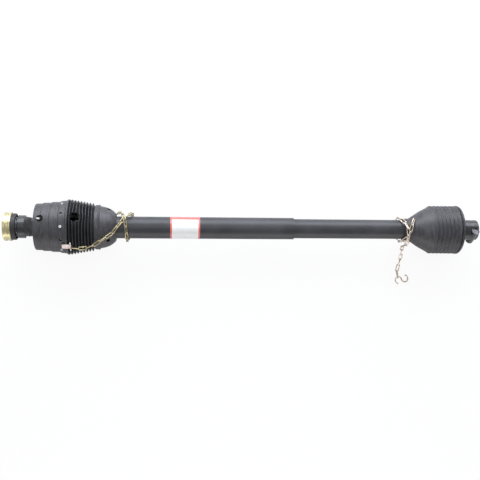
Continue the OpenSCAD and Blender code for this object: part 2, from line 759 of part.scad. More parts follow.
// Outer guard tube
module outer_guard_tube() {
    color("#202024") sleeve(outer_guard_x, outer_guard_x + outer_guard_l, outer_guard_r,
                            outer_guard_r - guard_wall);
}

// Inner guard tube
module inner_guard_tube() {
    color("#202024") sleeve(inner_guard_x, inner_guard_x + inner_guard_l, inner_guard_r,
                            inner_guard_r - guard_wall);
}

// Outline of the implement guard, from its neck to its mouth, as [radius, x], sunk by d
rib_x = implement_x - 54;
rib_pitch = (cone_end_x - 5 - rib_x) / rib_n;
function cone_outline(d) = concat(
    [[inner_guard_r + 4.2 - d, cone_neck_x + cone_neck_l], [51.8 - d, cone_neck_x + 48],
     [cone_mouth_r - 4 - d, rib_x]],
    [for (i = [0:rib_n - 1]) each [
        [cone_mouth_r - 3.4 + 0.4 * i / rib_n - d, rib_x + (i + 0.1) * rib_pitch],
        [cone_mouth_r - 3.4 + rib_h + 0.4 * i / rib_n - d, rib_x + (i + 0.35) * rib_pitch],
        [cone_mouth_r - 3.4 + rib_h + 0.4 * i / rib_n - d, rib_x + (i + 0.6) * rib_pitch],
        [cone_mouth_r - 3.4 + 0.4 * i / rib_n - d, rib_x + (i + 0.85) * rib_pitch]]],
    [[cone_mouth_r - d, cone_end_x - 5], [cone_mouth_r - d, cone_end_x - 1.5],
     [cone_mouth_r - 1 - d, cone_end_x]]
);

// Ribbed guard round the implement joint
module guard_cone_implement() {
    color("#2b2b2f") difference() {
        turned(concat(
            [[inner_guard_r + hair, cone_neck_x], [inner_guard_r + 4.2, cone_neck_x]],
            cone_outline(0),
            [[cone_mouth_r - shell_wall - 3.4, cone_end_x], [cone_mouth_r - shell_wall - 3.8, rib_x],
             [51.8 - shell_wall, cone_neck_x + 49.5],
             [inner_guard_r + 4.2 - shell_wall, cone_neck_x + cone_neck_l + 2],
             [inner_guard_r + hair, cone_neck_x + cone_neck_l + 2]]
        ));
        rotate([-hook_turn, 0, 0]) translate([hook_hole_x, 0, 30]) cylinder(h = 40, r = 4, $fn = round_fn);
    }
}

// Slide ring between the tube yoke and the implement guard
module guard_bearing_inner() {
    slide_ring(implement_bearing_x, cone_bore_r(implement_bearing_x - 4) - 0.05);
}

// Radius of the implement guard's bore at x, on its conical part
function cone_bore_r(x) = let (x0 = cone_neck_x + cone_neck_l + 2, x1 = cone_neck_x + 49.5,
    r0 = inner_guard_r + 4.2 - shell_wall, r1 = 51.8 - shell_wall) r0 + (r1 - r0) * (x - x0) / (x1 - x0);

// Yoke on the inner drive tube
module tube_yoke() {
    color("#242428") difference() {
        union() {
            translate([implement_x, 0, 0]) fork(hub_flare);
            tube_hub(tube_hub_x, tube_fork_x, implement_bearing_x);
        }
        lobed_bar(tube_hub_x - 1, inner_drive_x + inner_drive_l, inner_sunk - hair);
        pin_hole(tube_pin_x);
    }
}
module tube_yoke_caps() {
    color("#9a9a9c") translate([implement_x, 0, 0]) caps();
}
module tube_yoke_clips() {
    color("#6b6b6e") translate([implement_x, 0, 0]) clips();
}

// Cross of the implement joint
module cross_implement() {
    color("#8f8f92") translate([implement_x, 0, 0]) spider();
}
module cross_implement_nipple() {
    color("#c8a24a") translate([implement_x, 0, 0]) nipple();
}

// Place of the push pin across the implement hub
push_x = implement_end_x - 13;
push_turn = 60;
push_pin_r = 6;
push_z = spline_minor_r - 2 + push_pin_r;

// Cast yoke with the splined hub and push pin of the implement end
module implement_yoke() {
    end_r = hub_r - 2.3;
    color("#242428") difference() {
        union() {
            translate([implement_x, 0, 0]) mirror([1, 0, 0]) rotate([90, 0, 0]) fork(hub_flare);
            turned([[0, implement_fork_x], [hub_r, implement_fork_x], [end_r, implement_fork_x + 4],
                    [end_r, implement_end_x - 2], [end_r - 2, implement_end_x], [0, implement_end_x]]);
            rotate([push_turn, 0, 0]) translate([push_x, 0, push_z]) rotate([90, 0, 0])
                cylinder(h = 52, r = push_pin_r + 5, center = true, $fn = fine);
        }
        spline_bore(implement_fork_x - 1, implement_end_x + 1);
        rotate([push_turn, 0, 0]) translate([push_x, 0, push_z]) rotate([90, 0, 0]) {
            cylinder(h = 80, r = push_pin_r + run_gap, center = true, $fn = fine);
            translate([0, 0, -27]) cylinder(h = 20, r = push_pin_r + 2.6, $fn = fine);
        }
    }
}
module implement_yoke_caps() {
    color("#9a9a9c") translate([implement_x, 0, 0]) rotate([90, 0, 0]) caps();
}
module implement_yoke_clips() {
    color("#6b6b6e") translate([implement_x, 0, 0]) rotate([90, 0, 0]) clips();
}

// Waisted pin that locks the hub in the groove of the implement's shaft
module push_pin() {
    color("#b9b9bd") rotate([push_turn, 0, 0]) translate([push_x, 0, push_z]) rotate([90, 0, 0])
        rotate_extrude($fn = fine) polygon([
            [0, -24], [push_pin_r + 2.2, -24], [push_pin_r + 2.2, -22], [push_pin_r, -21.5],
            [push_pin_r, 20], [push_pin_r, 31], [push_pin_r - 1.5, 33], [0, 33]
        ]);
}

// Spring under the push pin's flange
module push_pin_spring() {
    color("#8d8d90") rotate([push_turn, 0, 0]) translate([push_x, 0, push_z]) rotate([0, 0, 90])
        coil(7.2, 14.2, push_pin_r + 1.4, 1.6, 4);
}

// Unit vector along v
function unit(v) = v / norm(v);

// Point of a chain's route at t, from key points of [x, turn from +Z towards -Y, radius]
function route_at(keys, t) = let (
    last = len(keys) - 1, i = min(floor(t), last - 1), k = keys[i] + (keys[i + 1] - keys[i]) * (t - i)
) [k[0], -k[2] * sin(k[1]), k[2] * cos(k[1])];

// First place on the route after t that lies one pitch from the point p
function next_t(keys, t, p) =
    t >= len(keys) - 1 || norm(route_at(keys, t) - p) >= chain_pitch ? t : next_t(keys, t + 0.004, p);

// Where each link hands over to the next along a route, one pitch apart
function hand_overs(keys, t = 0, found = []) = let (p = route_at(keys, t), seen = concat(found, [p]))
    t >= len(keys) - 1 ? found : hand_overs(keys, next_t(keys, t, p), seen);

// Links through a list of hand-over points, rolled by turns to each side of the tube's surface. The
// last of them, as many as laid, turn until the end link stands upright on the floor.
module links(points, laid) {
    last = len(points) - 2;
    for (i = [0:last]) {
        middle = (points[i] + points[i + 1]) / 2;
        along = unit(points[i + 1] - points[i]);
        out = [0, middle[1], middle[2]];
        side = unit(cross(along, middle[2] < 0 && norm(out) > outer_lie_r + 4 ? [0, 0, 1] : out));
        up = cross(side, along);
        roll = ((last - i) % 2 == 0 ? -45 : 45) - 45 * max(0, i - last + laid) / max(laid, 1);
        n = up * cos(roll) + side * sin(roll);
        w = cross(n, along);
        multmatrix([[along[0], w[0], n[0], middle[0]], [along[1], w[1], n[1], middle[1]],
                    [along[2], w[2], n[2], middle[2]], [0, 0, 0, 1]]) link();
    }
}

// Chain on the tractor side: from the tag over bellows and cone, then once round the guard tube
module safety_chain_outer() {
    color("#c9bb8a") links(hand_overs(outer_route), 0);
}

// Chain on the implement side: from the cone's hole once round the guard tube, then to the floor
module safety_chain_inner() {
    color("#c9bb8a") links(hand_overs(inner_route), laid_links);
}

// Open hook through the end link of the implement-side chain, bent like an S from round wire. It leans
// on the link, and its far bend lies on the floor.
module chain_hook() {
    ends = hand_overs(inner_route);
    last = len(ends) - 1;
    along = unit(ends[last] - ends[last - 1]);
    grip = (ends[last] + ends[last - 1]) / 2 + along * (link_l / 2 - chain_wire - hook_wire / 2 - 0.25);
    lean = asin((grip[2] - floor_z - hook_wire / 2) / (3 * hook_bend_r));
    color("#b9b4a0") translate(grip) rotate([0, lean, atan2(along[1], along[0]) + 90])
        translate([0, -hook_bend_r, 0]) for (s = [0, 1]) translate([2 * s * hook_bend_r, 0, 0])
            rotate([0, 0, 180 * s]) rotate_extrude(angle = 250, $fn = 48)
                translate([hook_bend_r, 0]) circle(d = hook_wire, $fn = 24);
}

tractor_yoke();
tractor_yoke_caps();
tractor_yoke_clips();
lock_collar();
collar_ring();
collar_spring();
collar_snap_ring();
lock_ball_1();
lock_ball_2();
lock_ball_3();
cross_front();
cross_front_nipple();
cv_housing();
centring_disc();
cv_front_caps();
cv_front_clips();
cv_rear_caps();
cv_rear_clips();
shell_bearing();
guard_shell();
shell_screws();
chain_tag();
cross_rear();
cross_rear_nipple();
inner_yoke();
inner_yoke_caps();
inner_yoke_clips();
outer_drive_tube();
inner_yoke_pin();
bellows();
guard_cone_rear();
guard_bearing_outer();
outer_guard_tube();
safety_chain_outer();
inner_drive_tube();
tube_yoke();
tube_yoke_pin();
tube_yoke_caps();
tube_yoke_clips();
inner_guard_tube();
guard_cone_implement();
guard_bearing_inner();
safety_chain_inner();
chain_hook();
cross_implement();
cross_implement_nipple();
implement_yoke();
implement_yoke_caps();
implement_yoke_clips();
push_pin();
push_pin_spring();
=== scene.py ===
"""Guarded drive shaft with a wide-angle joint, lying on a pale floor and seen from above."""

import json
import math

import bpy
from mathutils import Matrix, Vector

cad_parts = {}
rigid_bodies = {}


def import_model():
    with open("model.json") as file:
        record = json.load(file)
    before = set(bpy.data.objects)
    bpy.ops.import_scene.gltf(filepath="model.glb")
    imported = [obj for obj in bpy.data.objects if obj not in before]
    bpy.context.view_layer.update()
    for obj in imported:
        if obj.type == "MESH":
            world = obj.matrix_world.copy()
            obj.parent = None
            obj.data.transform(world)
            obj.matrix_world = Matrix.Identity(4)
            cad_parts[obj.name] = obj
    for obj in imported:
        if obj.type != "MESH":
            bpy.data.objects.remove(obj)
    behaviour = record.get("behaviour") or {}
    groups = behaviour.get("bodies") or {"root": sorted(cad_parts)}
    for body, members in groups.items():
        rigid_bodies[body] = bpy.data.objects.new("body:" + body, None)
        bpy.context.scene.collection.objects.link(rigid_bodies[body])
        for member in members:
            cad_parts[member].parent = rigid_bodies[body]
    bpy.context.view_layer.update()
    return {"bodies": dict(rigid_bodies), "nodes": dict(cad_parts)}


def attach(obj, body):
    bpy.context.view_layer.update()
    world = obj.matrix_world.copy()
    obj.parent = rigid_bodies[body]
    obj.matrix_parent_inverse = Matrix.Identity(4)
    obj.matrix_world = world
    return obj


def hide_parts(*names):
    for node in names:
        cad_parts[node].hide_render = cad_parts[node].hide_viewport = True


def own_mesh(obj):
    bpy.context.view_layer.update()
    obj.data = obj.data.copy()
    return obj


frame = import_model()
nodes = frame["nodes"]

# Forks and hubs
# The yokes and the double yoke are iron castings, dipped in black enamel. The sand mould leaves
# a pebbled skin, the enamel lies glossy over it, and it thins to brown-grey on the high spots.


def linear(code):
    """sRGB hex, such as "20262b", as linear RGBA."""
    parts = [int(code[i:i + 2], 16) / 255 for i in (0, 2, 4)]
    return [c / 12.92 if c <= 0.04045 else ((c + 0.055) / 1.055) ** 2.4 for c in parts] + [1.0]


def add_node(material, kind, values=(), links=(), stops=(), **settings):
    """Adds a node with its settings, its ramp's stops, its socket values and what feeds its sockets."""
    made = material.node_tree.nodes.new(kind)
    for i, (position, code) in enumerate(stops):
        made.color_ramp.elements[i].position = position
        made.color_ramp.elements[i].color = linear(code)
    for name, value in settings.items():
        setattr(made, name, value)
    for socket, value in dict(values).items():
        made.inputs[socket].default_value = value
    for socket, source in dict(links).items():
        material.node_tree.links.new(source, made.inputs[socket])
    return made


def start_material(name, **sockets):
    """A material with its shader's plain sockets set, as (material, shader, Object coordinates)."""
    material = bpy.data.materials.new(name)
    material.use_nodes = True
    shader = material.node_tree.nodes["Principled BSDF"]
    for socket, value in sockets.items():
        shader.inputs[socket.replace("_", " ")].default_value = value
    place = add_node(material, "ShaderNodeTexCoord").outputs["Object"]
    return material, shader, place


def feed(material, shader, **sources):
    """Links outputs to the shader's sockets."""
    for socket, source in sources.items():
        material.node_tree.links.new(source, shader.inputs[socket.replace("_", " ")])


def finish_nodes(material, *names):
    """Gives CAD nodes their material."""
    for name in names:
        nodes[name].data.materials.clear()
        nodes[name].data.materials.append(material)


enamel, shader, place = start_material("black_enamel_on_cast_iron", Coat_Weight=0.35, Coat_Roughness=0.12)
# Sand grain of about 1.6 mm, and lumps of the mould of about 14 mm
grain = add_node(enamel, "ShaderNodeTexNoise", {"Scale": 620.0, "Detail": 3.0}, {"Vector": place})
lumps = add_node(enamel, "ShaderNodeTexNoise", {"Scale": 70.0, "Detail": 2.0}, {"Vector": place})
lump_bump = add_node(enamel, "ShaderNodeBump", {"Strength": 0.7, "Distance": 0.0016},
                     {"Height": lumps.outputs["Fac"]})
grain_bump = add_node(enamel, "ShaderNodeBump", {"Strength": 0.55, "Distance": 0.0004},
                      {"Height": grain.outputs["Fac"], "Normal": lump_bump.outputs["Normal"]})
rough = add_node(enamel, "ShaderNodeMapRange", {"To Min": 0.24, "To Max": 0.5},
                 {"Value": lumps.outputs["Fac"]})
colour = add_node(enamel, "ShaderNodeValToRGB", links={"Fac": lumps.outputs["Fac"]},
                  stops=((0.35, "151618"), (0.7, "2b2a2c")))
feed(enamel, shader, Base_Color=colour.outputs["Color"],
     Roughness=rough.outputs["Result"], Normal=grain_bump.outputs["Normal"])
finish_nodes(enamel, "tractor_yoke", "cv_housing", "inner_yoke", "tube_yoke", "implement_yoke")

# Ball collar
# The collar is turned from steel bar and plated with pale gold zinc. Turning leaves fine rings
# round it, and the plating drifts between straw and pale green. Its grip ring is moulded nylon.

zinc, shader, place = start_material("pale_gold_zinc_on_turned_steel", Metallic=1.0)
# Turning marks of about 0.5 mm are drawn 4.8 mm apart, so that they show
rings = add_node(zinc, "ShaderNodeTexWave", {"Scale": 66.0, "Distortion": 0.6, "Detail": 1.0},
                 {"Vector": place}, wave_type="BANDS", bands_direction="X")
drift = add_node(zinc, "ShaderNodeTexNoise", {"Scale": 45.0, "Detail": 2.0}, {"Vector": place})
ring_bump = add_node(zinc, "ShaderNodeBump", {"Strength": 0.015, "Distance": 0.0002},
                     {"Height": rings.outputs["Fac"]})
rough = add_node(zinc, "ShaderNodeMapRange", {"To Min": 0.3, "To Max": 0.38},
                 {"Value": drift.outputs["Fac"]})
colour = add_node(zinc, "ShaderNodeValToRGB", links={"Fac": drift.outputs["Fac"]},
                  stops=((0.35, "c4b88c"), (0.7, "d2caa6")))
feed(zinc, shader, Base_Color=colour.outputs["Color"],
     Roughness=rough.outputs["Result"], Normal=ring_bump.outputs["Normal"])
finish_nodes(zinc, "lock_collar")

nylon_black, shader, place = start_material("black_glass_filled_nylon")
# Glass fibres swirl the skin, drawn in flecks of about 4 mm
fleck = add_node(nylon_black, "ShaderNodeTexNoise", {"Scale": 260.0, "Detail": 3.0}, {"Vector": place})
fleck_bump = add_node(nylon_black, "ShaderNodeBump", {"Strength": 0.3, "Distance": 0.0003},
                      {"Height": fleck.outputs["Fac"]})
rough = add_node(nylon_black, "ShaderNodeMapRange", {"To Min": 0.42, "To Max": 0.62},
                 {"Value": fleck.outputs["Fac"]})
colour = add_node(nylon_black, "ShaderNodeValToRGB", links={"Fac": fleck.outputs["Fac"]},
                  stops=((0.3, "1a1a1c"), (0.75, "2d2d30")))
feed(nylon_black, shader, Base_Color=colour.outputs["Color"],
     Roughness=rough.outputs["Result"], Normal=fleck_bump.outputs["Normal"])
finish_nodes(nylon_black, "collar_ring")

# Ground steel
# Lock balls, bearing caps and guard screws are hardened and ground steel, bright zinc on the
# screws. The wheel leaves fine lines, and a film of grease dulls it in patches.

ground, shader, place = start_material("ground_bearing_steel", Metallic=1.0)
# Grease in patches of about 9 mm, over grinding lines drawn at about 1 mm
film = add_node(ground, "ShaderNodeTexNoise", {"Scale": 110.0, "Detail": 3.0}, {"Vector": place})
lines = add_node(ground, "ShaderNodeTexNoise", {"Scale": 900.0, "Detail": 1.0}, {"Vector": place})
line_bump = add_node(ground, "ShaderNodeBump", {"Strength": 0.15, "Distance": 0.0001},
                     {"Height": lines.outputs["Fac"]})
rough = add_node(ground, "ShaderNodeMapRange", {"To Min": 0.2, "To Max": 0.42},
                 {"Value": film.outputs["Fac"]})
colour = add_node(ground, "ShaderNodeValToRGB", links={"Fac": film.outputs["Fac"]},
                  stops=((0.3, "a9aaad"), (0.65, "d6d7da")))
feed(ground, shader, Base_Color=colour.outputs["Color"],
     Roughness=rough.outputs["Result"], Normal=line_bump.outputs["Normal"])
finish_nodes(ground, "lock_ball_1", "lock_ball_2", "lock_ball_3", "shell_screws",
             "tractor_yoke_caps", "cv_front_caps", "cv_rear_caps", "inner_yoke_caps", "tube_yoke_caps",
             "implement_yoke_caps")

# Crosses, circlips and pins
# Forged crosses, sprung circlips, snap ring and slotted pins keep their dark heat-treated scale,
# a blue-grey skin that rubs bright at the corners.

scale, shader, place = start_material("dark_tempered_steel", Metallic=0.85)
# Scale rubs bright in patches of about 7 mm
skin = add_node(scale, "ShaderNodeTexNoise", {"Scale": 150.0, "Detail": 4.0}, {"Vector": place})
skin_bump = add_node(scale, "ShaderNodeBump", {"Strength": 0.3, "Distance": 0.0003},
                     {"Height": skin.outputs["Fac"]})
rough = add_node(scale, "ShaderNodeMapRange", {"To Min": 0.34, "To Max": 0.6},
                 {"Value": skin.outputs["Fac"]})
colour = add_node(scale, "ShaderNodeValToRGB", links={"Fac": skin.outputs["Fac"]},
                  stops=((0.35, "4b4d52"), (0.75, "85868a")))
feed(scale, shader, Base_Color=colour.outputs["Color"],
     Roughness=rough.outputs["Result"], Normal=skin_bump.outputs["Normal"])
finish_nodes(scale, "cross_front", "cross_rear", "cross_implement", "centring_disc", "collar_snap_ring",
             "tractor_yoke_clips", "cv_front_clips", "cv_rear_clips", "inner_yoke_clips", "tube_yoke_clips",
             "implement_yoke_clips", "inner_yoke_pin", "tube_yoke_pin", "push_pin")

# Grease nipples
# Small nipples, turned from brass and set into the three crosses, a little dulled by old grease.

brass, shader, place = start_material("turned_brass", Metallic=1.0)
# Dull patches of about 3 mm
dull = add_node(brass, "ShaderNodeTexNoise", {"Scale": 300.0, "Detail": 2.0}, {"Vector": place})
rough = add_node(brass, "ShaderNodeMapRange", {"To Min": 0.22, "To Max": 0.45},
                 {"Value": dull.outputs["Fac"]})
colour = add_node(brass, "ShaderNodeValToRGB", links={"Fac": dull.outputs["Fac"]},
                  stops=((0.3, "a98445"), (0.7, "dcbd72")))
feed(brass, shader, Base_Color=colour.outputs["Color"], Roughness=rough.outputs["Result"])
finish_nodes(brass, "cross_front_nipple", "cross_rear_nipple", "cross_implement_nipple")

# Drive tubes
# Two three-lobed tubes, cold-drawn from steel, one sliding in the other. They have an oiled mill
# finish, and drawing leaves long faint streaks.

drawn, shader, place = start_material("oiled_cold_drawn_steel", Metallic=0.9)
# Streaks about 3 mm wide and 150 mm long
stretch = add_node(drawn, "ShaderNodeMapping", {"Scale": (7.0, 330.0, 330.0)}, {"Vector": place})
streaks = add_node(drawn, "ShaderNodeTexNoise", {"Scale": 1.0, "Detail": 3.0},
                   {"Vector": stretch.outputs["Vector"]})
streak_bump = add_node(drawn, "ShaderNodeBump", {"Strength": 0.2, "Distance": 0.0002},
                       {"Height": streaks.outputs["Fac"]})
rough = add_node(drawn, "ShaderNodeMapRange", {"To Min": 0.3, "To Max": 0.5},
                 {"Value": streaks.outputs["Fac"]})
colour = add_node(drawn, "ShaderNodeValToRGB", links={"Fac": streaks.outputs["Fac"]},
                  stops=((0.3, "5a5c61"), (0.7, "8d8f94")))
feed(drawn, shader, Base_Color=colour.outputs["Color"],
     Roughness=rough.outputs["Result"], Normal=streak_bump.outputs["Normal"])
finish_nodes(drawn, "outer_drive_tube", "inner_drive_tube")

# Slide rings
# The guards turn on three slotted rings, moulded in natural nylon, which is cream, waxy and slightly
# see-through.

nylon, shader, place = start_material("natural_nylon", Subsurface_Weight=0.15, Subsurface_Scale=0.002,
                                      Roughness=0.38)
# Clouds of about 11 mm
cloud = add_node(nylon, "ShaderNodeTexNoise", {"Scale": 90.0, "Detail": 2.0}, {"Vector": place})
colour = add_node(nylon, "ShaderNodeValToRGB", links={"Fac": cloud.outputs["Fac"]},
                  stops=((0.35, "cfc8b2"), (0.7, "e4dfcf")))
feed(nylon, shader, Base_Color=colour.outputs["Color"])
finish_nodes(nylon, "shell_bearing", "guard_bearing_outer", "guard_bearing_inner")

# Guard mouldings
# The tractor guard, rear cone and implement cone are moulded in black polyethylene. The mould was
# blasted, so the skin is satin, and it scuffs to grey where the guard has been handled.

moulded, shader, place = start_material("moulded_black_polyethylene", IOR=1.51)
# Mould texture of about 0.8 mm, drawn at 2 mm, and scuffs 7 mm wide and 22 mm long that run round
# the guard
texture = add_node(moulded, "ShaderNodeTexNoise", {"Scale": 500.0, "Detail": 2.0}, {"Vector": place})
squeeze = add_node(moulded, "ShaderNodeMapping", {"Scale": (150.0, 45.0, 45.0)}, {"Vector": place})
scuffs = add_node(moulded, "ShaderNodeTexNoise", {"Scale": 1.0, "Detail": 4.0, "Roughness": 0.6},
                  {"Vector": squeeze.outputs["Vector"]})
texture_bump = add_node(moulded, "ShaderNodeBump", {"Strength": 0.3, "Distance": 0.0002},
                        {"Height": texture.outputs["Fac"]})
rough = add_node(moulded, "ShaderNodeMapRange", {"To Min": 0.36, "To Max": 0.56},
                 {"Value": scuffs.outputs["Fac"]})
colour = add_node(moulded, "ShaderNodeValToRGB", links={"Fac": scuffs.outputs["Fac"]},
                  stops=((0.35, "2c2b2e"), (0.75, "454448")))
feed(moulded, shader, Base_Color=colour.outputs["Color"],
     Roughness=rough.outputs["Result"], Normal=texture_bump.outputs["Normal"])
finish_nodes(moulded, "guard_shell", "guard_cone_rear", "guard_cone_implement")

# Bellows
# A blow-moulded rubber bellows joins the tractor guard to the rear cone. Its thin crests stand over
# deep folds, and part and bend round a greasing opening on top.

bellows_x, bellows_end_x = 0.1733, 0.241
opening_x, opening_turn = 0.1955, math.radians(22)
# Crests are pushed away from the opening, by about 3 mm at most. The push is none in its middle, most
# about 10 mm from it, and fades along the shaft and round it. Both ends of the bellows stay put
part_push, part_near, part_far, part_side = 0.0042, 0.006, 0.021, 0.014
held_l, fade_l = 0.005, 0.008


def deselect():
    """Leaves edit mode and clears the selection."""
    if bpy.context.object and bpy.context.object.mode != "OBJECT":
        bpy.ops.object.mode_set(mode="OBJECT")
    bpy.ops.object.select_all(action="DESELECT")


def make_active(piece):
    """Selects one piece alone."""
    deselect()
    piece.select_set(True)
    bpy.context.view_layer.objects.active = piece


def copy_of_node(name, new_name):
    """A merged copy of a CAD node's mesh, as a new piece that stands for it."""
    piece = bpy.data.objects.new(new_name, nodes[name].data.copy())
    bpy.context.scene.collection.objects.link(piece)
    make_active(piece)
    bpy.ops.mesh.customdata_custom_splitnormals_clear()
    bpy.ops.object.mode_set(mode="EDIT")
    bpy.ops.mesh.select_all(action="SELECT")
    bpy.ops.mesh.remove_doubles(threshold=0.000005)
    bpy.ops.object.mode_set(mode="OBJECT")
    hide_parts(name)
    return piece


def follow_shell(piece, weights):
    """Lets each point follow the tractor guard by its weight, and the outer guard by the rest."""
    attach(piece, "guard_outer")
    group = piece.vertex_groups.new(name="with_tractor_guard")
    for index, weight in enumerate(weights):
        group.add([index], weight, "REPLACE")
    hook = piece.modifiers.new("with_tractor_guard", "HOOK")
    hook.object = frame["bodies"]["guard_shell"]
    hook.vertex_group = group.name
    hook.falloff_type = "NONE"


def eased(t):
    """0 to 1, slow at both ends."""
    t = min(1.0, max(0.0, t))
    return t * t * (3 - 2 * t)


rubber, shader, place = start_material("moulded_black_rubber", IOR=1.52)
# Wax blooms out of the rubber in patches of about 17 mm
bloom = add_node(rubber, "ShaderNodeTexNoise", {"Scale": 60.0, "Detail": 4.0}, {"Vector": place})
bloom_bump = add_node(rubber, "ShaderNodeBump", {"Strength": 0.25, "Distance": 0.0003},
                      {"Height": bloom.outputs["Fac"]})
rough = add_node(rubber, "ShaderNodeMapRange", {"To Min": 0.4, "To Max": 0.6},
                 {"Value": bloom.outputs["Fac"]})
colour = add_node(rubber, "ShaderNodeValToRGB", links={"Fac": bloom.outputs["Fac"]},
                  stops=((0.35, "1c1d1f"), (0.75, "323235")))
feed(rubber, shader, Base_Color=colour.outputs["Color"],
     Roughness=rough.outputs["Result"], Normal=bloom_bump.outputs["Normal"])

bellows = copy_of_node("bellows", "bellows_rubber")
bellows.data.materials.clear()
bellows.data.materials.append(rubber)
bpy.ops.object.shade_smooth_by_angle(angle=math.radians(50))
# The crests part round the opening, most beside its middle
to_opening = Vector((0, math.sin(opening_turn), math.cos(opening_turn)))
sideways = Vector((0, math.cos(opening_turn), -math.sin(opening_turn)))
for v in bellows.data.vertices:
    if v.co @ to_opening > 0:
        away, aside = v.co.x - opening_x, v.co @ sideways
        fade = min(1.0, (v.co.x - bellows_x - held_l) / fade_l, (bellows_end_x - v.co.x) / fade_l)
        push = (1 - math.exp(-(away / part_near) ** 2)) * math.exp(-(away / part_far) ** 2)
        v.co.x += math.copysign(part_push * push * max(0.0, fade), away) * math.exp(-(aside / part_side) ** 2)
follow_shell(bellows, [1 - eased((v.co.x - bellows_x) / (bellows_end_x - bellows_x))
                       for v in bellows.data.vertices])

# Guard tubes
# The two guard tubes are extruded black polyethylene. The die leaves faint lines along them, and
# the skin is smoother than the mouldings', so light from the side runs along it as a blue-grey band.

extruded, shader, place = start_material("extruded_black_polyethylene", IOR=1.51)
# Die lines about 4 mm apart round the tube, and haze in patches of about 60 mm
along = add_node(extruded, "ShaderNodeMapping", {"Scale": (5.0, 260.0, 260.0)}, {"Vector": place})
die_lines = add_node(extruded, "ShaderNodeTexNoise", {"Scale": 1.0, "Detail": 3.0},
                     {"Vector": along.outputs["Vector"]})
haze = add_node(extruded, "ShaderNodeTexNoise", {"Scale": 18.0, "Detail": 3.0}, {"Vector": place})
die_bump = add_node(extruded, "ShaderNodeBump", {"Strength": 0.05, "Distance": 0.0002},
                    {"Height": die_lines.outputs["Fac"]})
rough = add_node(extruded, "ShaderNodeMapRange", {"To Min": 0.4, "To Max": 0.5},
                 {"Value": haze.outputs["Fac"]})
colour = add_node(extruded, "ShaderNodeValToRGB", links={"Fac": haze.outputs["Fac"]},
                  stops=((0.35, "29292d"), (0.7, "37373b")))
feed(extruded, shader, Base_Color=colour.outputs["Color"],
     Roughness=rough.outputs["Result"], Normal=die_bump.outputs["Normal"])
finish_nodes(extruded, "outer_guard_tube", "inner_guard_tube")

# Sticker
# A plain vinyl sticker lies round the outer guard tube: a white field in a red edge, broader along
# one side, with nothing printed on it. It is a thin sheet, wrapped on by hand.

sticker_x, sticker_end_x = 0.4435, 0.5245
sticker_r, sticker_t = 0.03005, 0.00015
sticker_top, sticker_bottom = math.radians(80), math.radians(-105)
edge_w, band_w = 0.0045, 0.017

deselect()
bpy.ops.mesh.primitive_grid_add(x_subdivisions=36, y_subdivisions=90, size=1)
sticker = bpy.context.object
sticker.name = "tube_sticker"
for v in sticker.data.vertices:
    across, round_ = v.co.x + 0.5, v.co.y + 0.5
    turn = sticker_bottom + (sticker_top - sticker_bottom) * round_
    v.co = (sticker_x + (sticker_end_x - sticker_x) * across, sticker_r * math.sin(turn),
            sticker_r * math.cos(turn))
thick = sticker.modifiers.new("thickness", "SOLIDIFY")
thick.thickness, thick.offset = sticker_t, 1.0
bpy.ops.object.modifier_apply(modifier="thickness")
bpy.ops.object.mode_set(mode="EDIT")
bpy.ops.mesh.select_all(action="SELECT")
bpy.ops.mesh.normals_make_consistent(inside=False)
bpy.ops.object.mode_set(mode="OBJECT")
bpy.ops.object.shade_smooth_by_angle(angle=math.radians(40))

vinyl, shader, place = start_material("white_vinyl", Roughness=0.34, Coat_Weight=0.2)
# Dust and rubs in patches of about 8 mm
speck = add_node(vinyl, "ShaderNodeTexNoise", {"Scale": 120.0, "Detail": 3.0}, {"Vector": place})
colour = add_node(vinyl, "ShaderNodeValToRGB", links={"Fac": speck.outputs["Fac"]},
                  stops=((0.35, "dededd"), (0.65, "e4e4e3")))
feed(vinyl, shader, Base_Color=colour.outputs["Color"])
edge_red, shader, place = start_material("red_printed_vinyl", Roughness=0.36, Coat_Weight=0.2)
speck = add_node(edge_red, "ShaderNodeTexNoise", {"Scale": 120.0, "Detail": 3.0}, {"Vector": place})
colour = add_node(edge_red, "ShaderNodeValToRGB", links={"Fac": speck.outputs["Fac"]},
                  stops=((0.35, "cf5a54"), (0.65, "da6a62")))
feed(edge_red, shader, Base_Color=colour.outputs["Color"])
sticker.data.materials.append(vinyl)
sticker.data.materials.append(edge_red)
band_turn = sticker_top - band_w / sticker_r
for face in sticker.data.polygons:
    x = face.center.x
    turn = math.atan2(face.center.y, face.center.z)
    if x < sticker_x + edge_w or x > sticker_end_x - edge_w or turn > band_turn:
        face.material_index = 1
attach(sticker, "guard_outer")

# Chains, tag and hook
# Two light chains keep the guards from turning. Their links are bent and welded from wire and
# plated yellow zinc, so they run from brass to pink-silver where the plating is thin.

for name, thin, thick in (
        ("yellow_zinc_on_wire", "9c8f6d", "c6ba98"),
        ("thin_zinc_on_wire", "bfae98", "ece0d4")):
    plated, shader, place = start_material(name, Metallic=1.0)
    # The plating wears thin in patches of about 8 mm
    wear = add_node(plated, "ShaderNodeTexNoise", {"Scale": 120.0, "Detail": 3.0}, {"Vector": place})
    wear_bump = add_node(plated, "ShaderNodeBump", {"Strength": 0.2, "Distance": 0.0002},
                         {"Height": wear.outputs["Fac"]})
    rough = add_node(plated, "ShaderNodeMapRange", {"To Min": 0.3, "To Max": 0.48},
                     {"Value": wear.outputs["Fac"]})
    colour = add_node(plated, "ShaderNodeValToRGB", links={"Fac": wear.outputs["Fac"]},
                      stops=((0.35, thin), (0.65, thick)))
    feed(plated, shader, Base_Color=colour.outputs["Color"],
         Roughness=rough.outputs["Result"], Normal=wear_bump.outputs["Normal"])
finish_nodes(plated, "chain_hook")

# One link: a ring of 2.8 mm wire, drawn out to 25.9 mm
link_pitch, link_long, link_wide, wire_d = 0.0195, 0.0259, 0.0105, 0.0028
